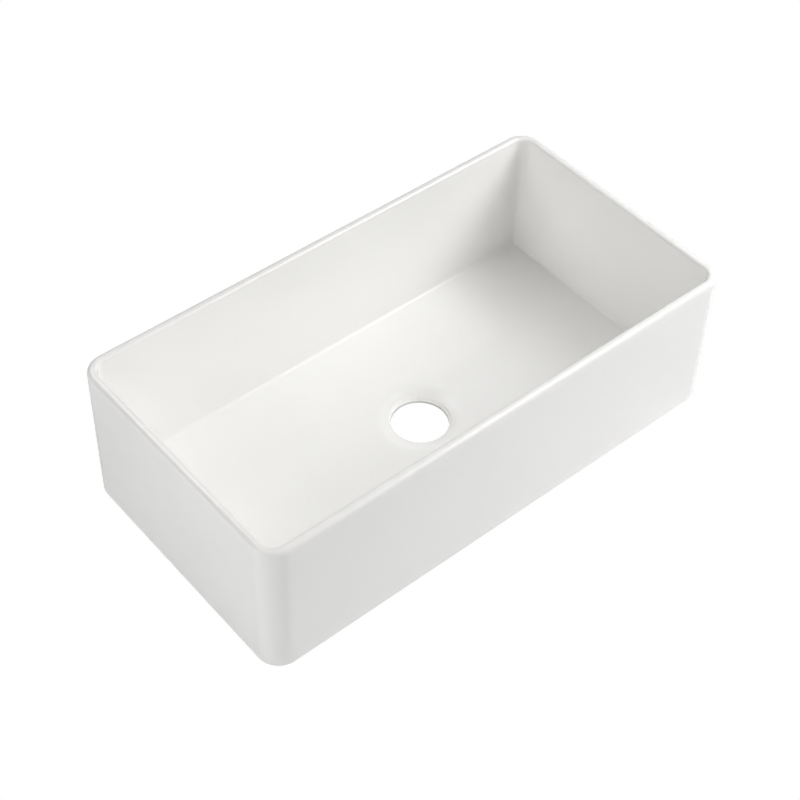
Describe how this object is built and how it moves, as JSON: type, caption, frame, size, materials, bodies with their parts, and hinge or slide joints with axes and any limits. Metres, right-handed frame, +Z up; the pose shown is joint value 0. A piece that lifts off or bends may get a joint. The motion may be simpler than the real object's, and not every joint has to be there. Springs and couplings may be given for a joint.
{
  "type": "kitchen sink",
  "caption": "Rectangular apron-front kitchen sink in white glazed fireclay: deep straight-sided bowl with a rounded rim and corners, and a round drain hole in a dished seat.",
  "frame": {"origin": "middle of the underside of the basin", "axes": "+X along the front to the right, +Y from the apron front to the back, +Z up out of the bowl"},
  "size_m": [0.838, 0.438, 0.246],
  "materials": {
    "glaze": "glossy white glaze over fireclay, bare and matte on the underside"
  },
  "bodies": {
    "root": {"sink_body": "glaze"}
  },
  "joints": []
}
